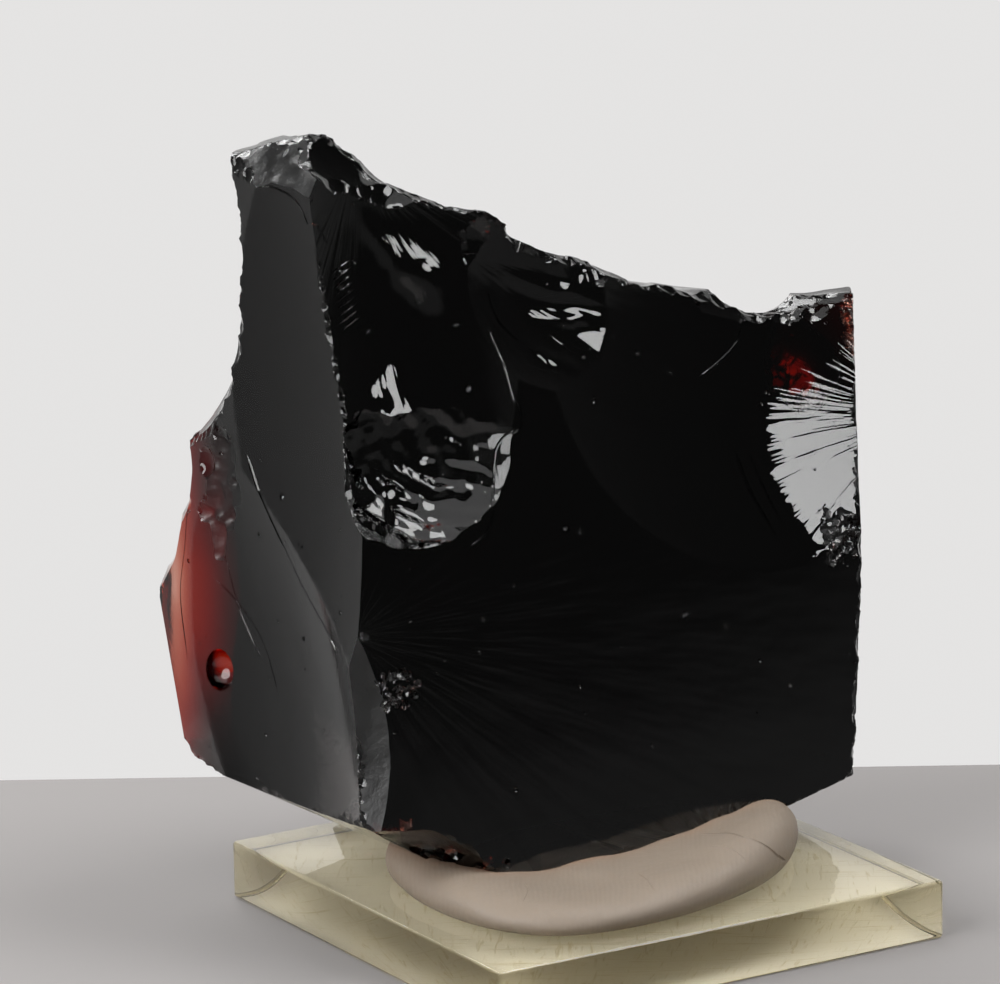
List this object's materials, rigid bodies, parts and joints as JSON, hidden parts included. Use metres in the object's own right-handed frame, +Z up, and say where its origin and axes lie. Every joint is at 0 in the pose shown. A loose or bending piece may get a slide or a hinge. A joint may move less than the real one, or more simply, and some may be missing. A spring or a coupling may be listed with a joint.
{
  "type": "slag glass chunk",
  "caption": "Angular chunk of near-black red slag glass with shell-shaped flake scars, bedded in tack on a clear square base.",
  "frame": {"origin": "centre of the base's underside", "axes": "+Z up, -Y towards the viewer of the pictured side, +X to the viewer's right; the square base is turned 31.5 degrees about Z"},
  "size_m": [0.0769, 0.0698, 0.0792],
  "materials": {
    "slag_glass": "glossy broken glass, near black, deep red where it is thin",
    "tack": "matte hand-pressed tack",
    "acrylic": "polished clear acrylic with a pale yellow tint"
  },
  "bodies": {
    "root": {"slag_glass_chunk": "slag_glass", "mineral_tack": "tack", "acrylic_base": "acrylic"}
  },
  "joints": []
}
